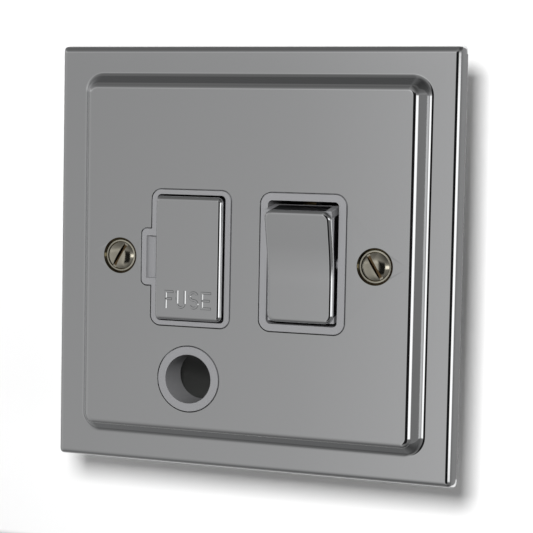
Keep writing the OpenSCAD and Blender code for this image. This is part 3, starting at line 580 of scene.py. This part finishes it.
bmesh.ops.rotate(bm, verts=bm.verts, cent=(0, 0, 0), matrix=Matrix.Rotation(rocker_tilt, 3, "X"))
bmesh.ops.translate(bm, verts=bm.verts, vec=(switch_x, 0, pivot_z))
finished_piece("rocker_cap", bm, "rocker", chrome, ["rocker_face"])

# The fuse drawer has the same kind of chromed cap, pressed over the moulded drawer. Its top is
# flat, and a skirt goes down its sides.
drawer_w, drawer_l, drawer_corner_r = 15.95, 27.62, 1.2
drawer_top = 8.75
drawer_skirt_low = 5.2
drawer_edge_r = 0.9

bm = bmesh.new()
skirt_edges = outline(bm, rectangle(fuse_x, drawer_w, drawer_l, drawer_corner_r), drawer_skirt_low)
bmesh.ops.contextual_create(bm, geom=skirt_edges)
foot_face = max(bm.faces, key=lambda f: f.calc_area())
moved(bm, bmesh.ops.extrude_face_region(bm, geom=[foot_face]), (0, 0, drawer_top - drawer_skirt_low))
top_edges = [e for e in bm.edges if all(abs(v.co.z - drawer_top) < same_place for v in e.verts)]
bmesh.ops.bevel(bm, geom=top_edges, offset=drawer_edge_r, segments=cap_edge_steps, profile=0.5,
                affect="EDGES", material=-1)
foot = [f for f in bm.faces if all(abs(v.co.z - drawer_skirt_low) < same_place for v in f.verts)]
bmesh.ops.delete(bm, geom=foot, context="FACES")
outside_up(bm)
bmesh.ops.solidify(bm, geom=bm.faces[:], thickness=cap_t)
finished_piece("drawer_cap", bm, "fuse_drawer", chrome, ["fuse_carrier_face"])

# The word on the drawer is pressed up from its cap, in plain strokes of even width with
# sloping sides. Each letter is given by its left and right edges.
letter_low, letter_high = -11.2, -7.15
letter_proud = 0.095
letter_sunk = 0.1 * letter_proud
letter_slope_w = 0.15
stroke_w = 0.62
half_stroke = stroke_w / 2
f_left, f_right = -18.3, -16.1
f_bar_short = 0.35
f_bar_up = 0.1
u_left, u_right = -15.5, -13.05
s_left, s_right = -12.4, -9.95
s_end = 20
e_left, e_right = -9.5, -7.0
e_bar_short = 0.3


def stroke(bm, points):
    """A raised stroke of even width along a path of points on the drawer's face."""
    sides = ([], [])
    for index, here in enumerate(points):
        before = (Vector(here) - Vector(points[index - 1])).normalized() if index else None
        after = (Vector(points[index + 1]) - Vector(here)).normalized() if index + 1 < len(points) else None
        along = ((before or after) + (after or before)).normalized()
        across = Vector((-along.y, along.x))
        spread = half_stroke / max(0.5, across.dot(Vector((-(before or after).y, (before or after).x))))
        for side, way in zip(sides, (1, -1)):
            side.append(Vector(here) + across * spread * way)
    lower = [[bm.verts.new((p.x, p.y, drawer_top - letter_sunk)) for p in side] for side in sides]
    upper = []
    for side, other in (sides, sides[::-1]):
        upper.append([bm.verts.new((*(p + (q - p).normalized() * letter_slope_w), drawer_top + letter_proud))
                      for p, q in zip(side, other)])
    for n in range(len(points) - 1):
        bm.faces.new((upper[0][n], upper[1][n], upper[1][n + 1], upper[0][n + 1]))
        bm.faces.new((lower[0][n], upper[0][n], upper[0][n + 1], lower[0][n + 1]))
        bm.faces.new((upper[1][n], lower[1][n], lower[1][n + 1], upper[1][n + 1]))
        bm.faces.new((lower[1][n], lower[0][n], lower[0][n + 1], lower[1][n + 1]))
    for n, order in ((0, 1), (-1, -1)):
        end = [lower[0][n], lower[1][n], upper[1][n], upper[0][n]]
        bm.faces.new(end[::order])


def letter_arc(centre, radius, start, end, steps=8):
    """Points round an arc, with angles in degrees from the right, anticlockwise."""
    angles = [radians(start + (end - start) * step / steps) for step in range(steps + 1)]
    return [(centre[0] + radius * cos(a), centre[1] + radius * sin(a)) for a in angles]


bm = bmesh.new()
top, foot, middle = letter_high - half_stroke, letter_low + half_stroke, (letter_low + letter_high) / 2
left, right = f_left + half_stroke, f_right
stroke(bm, [(left, letter_low), (left, top), (right, top)])
stroke(bm, [(left, middle + f_bar_up), (right - f_bar_short, middle + f_bar_up)])
left, right = u_left + half_stroke, u_right - half_stroke
bowl = (right - left) / 2
stroke(bm, [(left, letter_high)] + letter_arc((left + bowl, foot + bowl), bowl, 180, 360, 12)
       + [(right, letter_high)])
left, right = s_left + half_stroke, s_right - half_stroke
bowl = (top - foot) / 4
stroke(bm, letter_arc((right - bowl, top - bowl), bowl, s_end, 90)
       + letter_arc((left + bowl, top - bowl), bowl, 90, 270, 12)
       + letter_arc((right - bowl, foot + bowl), bowl, 90, -90, 12)
       + letter_arc((left + bowl, foot + bowl), bowl, -90, s_end - 180))
left, right = e_left + half_stroke, e_right
stroke(bm, [(right, top), (left, top), (left, foot), (right, foot)])
stroke(bm, [(left, middle), (right - e_bar_short, middle)])
finished_piece("fuse_word", bm, "fuse_drawer", chrome)

# Two slotted screws with raised countersunk heads hold the plate to the wall box. Their nickel
# is warmer and duller than the chrome, and the slots are painted brown: old polish with painted shade in
# them.
screw_sides = {"left": -1, "right": 1}
slot_turns = {"left": radians(60), "right": radians(122)}
head_r = 3.7
head_rim_z = 6.75
head_dome = 0.9
crown_r = 10.06
crown_end = radians(8)
shoulder_end = radians(46)
shoulder_edge_r = 3.2
brim_r = 3.52
brim_fall = 0.03
screw_slot_w = 0.85
screw_slot_depth = 0.8
shank_r = 1.75
dome_top = head_rim_z + head_dome
head_foot = head_rim_z - head_r + shank_r
whole_turn = radians(360)

nickel = bright_metal("warm_nickel", (0.54, 0.51, 0.42), 0.12, 0.22, 500, 0.03)
# The slots turn brown from 0.04 to 0.18 mm below the dome: old polish, with painted shade that deepens with
# depth.
slotted_nickel = tarnished_and_shaded(nickel, "slotted_nickel", "Depth", 0.04, 0.18, (0.15, 0.10, 0.05),
                           height=dome_top, roundness=0.1)


def cut_slot(bm, width, floor_z):
    """Cuts a slot with square walls across a head that is already a closed shape."""
    for side in (-1, 1):
        bmesh.ops.bisect_plane(bm, geom=bm.verts[:] + bm.edges[:] + bm.faces[:], dist=1e-5,
                               plane_co=(0, side * width / 2, 0), plane_no=(0, 1, 0))
    within = [f for f in bm.faces if f.calc_center_median().z > floor_z - 0.01
              and abs(f.calc_center_median().y) < width / 2]
    bmesh.ops.delete(bm, geom=within, context="FACES")
    for side in (-1, 1):
        run = [e for e in bm.edges if len(e.link_faces) == 1
               and all(abs(v.co.y - side * width / 2) < same_place for v in e.verts)]
        for vert in new_points(bmesh.ops.extrude_edge_only(bm, edges=run)):
            vert.co.z = floor_z
    bmesh.ops.remove_doubles(bm, verts=bm.verts, dist=same_place)
    bmesh.ops.holes_fill(bm, edges=[e for e in bm.edges if len(e.link_faces) == 1], sides=0)


crown = bend((0, dome_top - crown_r), crown_r, 0, crown_end, 4)
edge_x, edge_h = crown[-1]
shoulder_r = (shoulder_edge_r - edge_x) / (sin(shoulder_end) - sin(crown_end))
shoulder = (edge_x - shoulder_r * sin(crown_end), edge_h - shoulder_r * cos(crown_end))
head_section = crown[:-1] + bend(shoulder, shoulder_r, crown_end, shoulder_end, 8)
head_section += [(brim_r, head_section[-1][1] - brim_fall), (shank_r, head_foot)]
for side, way in screw_sides.items():
    bm = bmesh.new()
    verts, edges = drawn_line(bm, [(r, 0, h) for r, h in head_section])
    bmesh.ops.spin(bm, geom=verts + edges, cent=(0, 0, 0), axis=(0, 0, 1), angle=whole_turn,
                   steps=64, use_merge=True)
    bmesh.ops.remove_doubles(bm, verts=bm.verts, dist=same_place)
    cut_slot(bm, screw_slot_w, dome_top - screw_slot_depth)
    bmesh.ops.rotate(bm, verts=bm.verts, cent=(0, 0, 0), matrix=Matrix.Rotation(slot_turns[side], 3, "Z"))
    bmesh.ops.translate(bm, verts=bm.verts, vec=(way * fixing_x, 0, 0))
    finished_piece(f"{side}_screw_head", bm, "housing", slotted_nickel)

# The screws' shanks pass the module at both sides on their way to the wall box. Each has a
# plain neck under the head, a machine thread and a chamfered tip.
screw_l = 25
neck_l = 1.5
thread_pitch = 0.6
thread_depth = 0.2
thread_flank = 0.35 * thread_pitch
thread_crest = 0.1 * thread_pitch
thread_steps = 20
root_r = shank_r - thread_depth
tip_l = 0.3
screw_tip = head_rim_z - screw_l
thread_low = screw_tip + tip_l
core_l = head_foot - thread_low

turns = int((head_foot - screw_tip - neck_l) / thread_pitch)
thread_section = [(root_r, 0), (shank_r, thread_flank), (shank_r, thread_flank + thread_crest),
                  (root_r, 2 * thread_flank + thread_crest), (root_r, thread_pitch)]
for side, way in screw_sides.items():
    bm = bmesh.new()
    verts, edges = drawn_line(bm, [(r, 0, thread_low + h) for r, h in thread_section])
    bmesh.ops.spin(bm, geom=verts + edges, cent=(0, 0, 0), axis=(0, 0, 1), angle=whole_turn * turns,
                   steps=thread_steps * turns, dvec=(0, 0, thread_pitch / thread_steps), use_merge=False)
    bmesh.ops.create_cone(bm, cap_ends=True, segments=32, radius1=root_r, radius2=root_r, depth=core_l,
                          matrix=Matrix.Translation((0, 0, (head_foot + thread_low) / 2)))
    bmesh.ops.create_cone(bm, cap_ends=True, segments=32, radius1=root_r - tip_l, radius2=root_r,
                          depth=tip_l, matrix=Matrix.Translation((0, 0, screw_tip + tip_l / 2)))
    bmesh.ops.translate(bm, verts=bm.verts, vec=(way * fixing_x, 0, 0))
    finished_piece(f"{side}_screw_shank", bm, "housing", nickel)
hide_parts("fixing_screws")

# The mouldings are thermosets: a pale grey one that shows round the drawer and the rocker, and
# a dark one behind. Both have a faint texture from the mould, and slightly rounded edges.
moulded, given, result = effect_group(
    "moulded_texture",
    {"Pale": "Color", "Deep": "Color"},
    {"Color": "Color", "Height": "Float"},
)
feed(moulded, result, {
    "Color": mixed(moulded, noise(moulded, 120, 2), given.outputs["Deep"], given.outputs["Pale"]),
    "Height": noise(moulded, 2500, 3),
})


def moulding_material(name, pale, deep, roughness, bump=0.05):
    """A moulded plastic: its colour wanders between two close tones over fine pits."""
    material, tree, shader = named_material(name, pale, roughness=roughness)
    texture = placed_group(tree, moulded, {"Pale": (*pale, 1), "Deep": (*deep, 1)})
    feed(tree, shader, {"Base Color": texture["Color"], "Normal": relief(tree, texture["Height"], bump)})
    return material


def softened(name, node, body, material, edge_r):
    """A merged copy of a solid with its sharp edges eased, standing in for its node."""
    bm = bmesh.new()
    bm.from_mesh(nodes[node].data)
    bm.transform(stand_up.inverted())
    bmesh.ops.remove_doubles(bm, verts=bm.verts, dist=welded)
    bmesh.ops.dissolve_limit(bm, angle_limit=radians(0.8), verts=bm.verts, edges=bm.edges)
    sharp = [e for e in bm.edges if len(e.link_faces) == 2 and e.calc_face_angle() > radians(28)]
    bmesh.ops.bevel(bm, geom=sharp, offset=edge_r, segments=2, profile=0.5,
                    affect="EDGES", material=-1, clamp_overlap=True)
    return finished_piece(name, bm, body, material, [node], sharp=40)


pale_plastic = moulding_material("pale_moulding", (0.238, 0.239, 0.247), (0.229, 0.230, 0.238), 0.38)
dark_plastic = moulding_material("dark_moulding", (0.060, 0.062, 0.060), (0.050, 0.052, 0.050), 0.45)
pale_edge_r = 0.08
dark_edge_r = 0.2
softened("front_surround", "front_moulding", "housing", pale_plastic, pale_edge_r)
softened("rocker_moulding", "rocker_body", "rocker", pale_plastic, pale_edge_r)
softened("drawer_moulding", "fuse_carrier_body", "fuse_drawer", pale_plastic, pale_edge_r)
softened("rear_housing", "rear_moulding", "housing", dark_plastic, dark_edge_r)

# The terminals are sawn from drawn brass bar with their edges broken, and brass nuts hold the
# module on the plate's studs. Zinc plated steel screws clamp the wires and join the mouldings.
brass = bright_metal("drawn_brass", (0.62, 0.47, 0.20), 0.22, 0.38, 600, 0.1)
zinc = bright_metal("zinc_plate", (0.55, 0.57, 0.60), 0.28, 0.42, 700, 0.12)
terminal_edge_r = 0.2
nut_edge_r = 0.15
joining_screw_edge_r = 0.1
small_screw_edge_r = 0.08
for node in ("supply_terminals", "load_terminals", "earth_terminals"):
    softened(f"{node}_eased", node, "housing", brass, terminal_edge_r)
softened("stud_nuts_eased", "stud_nuts", "housing", brass, nut_edge_r)
softened("rear_screws_eased", "rear_screws", "housing", zinc, joining_screw_edge_r)
softened("terminal_screws_eased", "terminal_screws", "housing", zinc, small_screw_edge_r)

# A white nylon bar grips the cord behind its outlet, drawn down by two zinc plated screws.
# Nylon serves for the rocker's two sprung plungers too.
nylon = moulding_material("white_nylon", (0.72, 0.72, 0.69), (0.68, 0.68, 0.65), 0.42)
clamp_edge_r = 0.2
softened("cord_clamp_screws_eased", "cord_clamp_screws", "housing", zinc, small_screw_edge_r)
softened("cord_clamp_eased", "cord_clamp", "housing", nylon, clamp_edge_r)

# Links, strips, clips and see-saws are cut and folded from brass, with silver tips where a
# circuit is made, and the fuse is a ceramic tube with plated caps. These, the studs and the
# plungers keep the shape of their solids and get a material alone.
steel = bright_metal("spring_steel", (0.42, 0.42, 0.43), 0.2, 0.32, 800, 0.06)
silver = bright_metal("contact_silver", (0.78, 0.77, 0.74), 0.24, 0.4, 900, 0.1)
ceramic = moulding_material("fuse_ceramic", (0.74, 0.73, 0.70), (0.70, 0.69, 0.66), 0.6)
made_of = {
    "plate_studs": brass, "live_seesaw": brass, "neutral_seesaw": brass, "live_link": brass,
    "neutral_link": brass, "load_link": brass, "supply_strips": brass, "fuse_clips": brass,
    "earth_strap": brass, "live_moving_tip": silver, "neutral_moving_tip": silver,
    "fixed_tips": silver, "plungers": nylon, "plunger_springs": steel, "fuse_barrel": ceramic,
    "fuse_caps": nickel,
}
for node, material in made_of.items():
    nodes[node].data.materials.clear()
    nodes[node].data.materials.append(material)
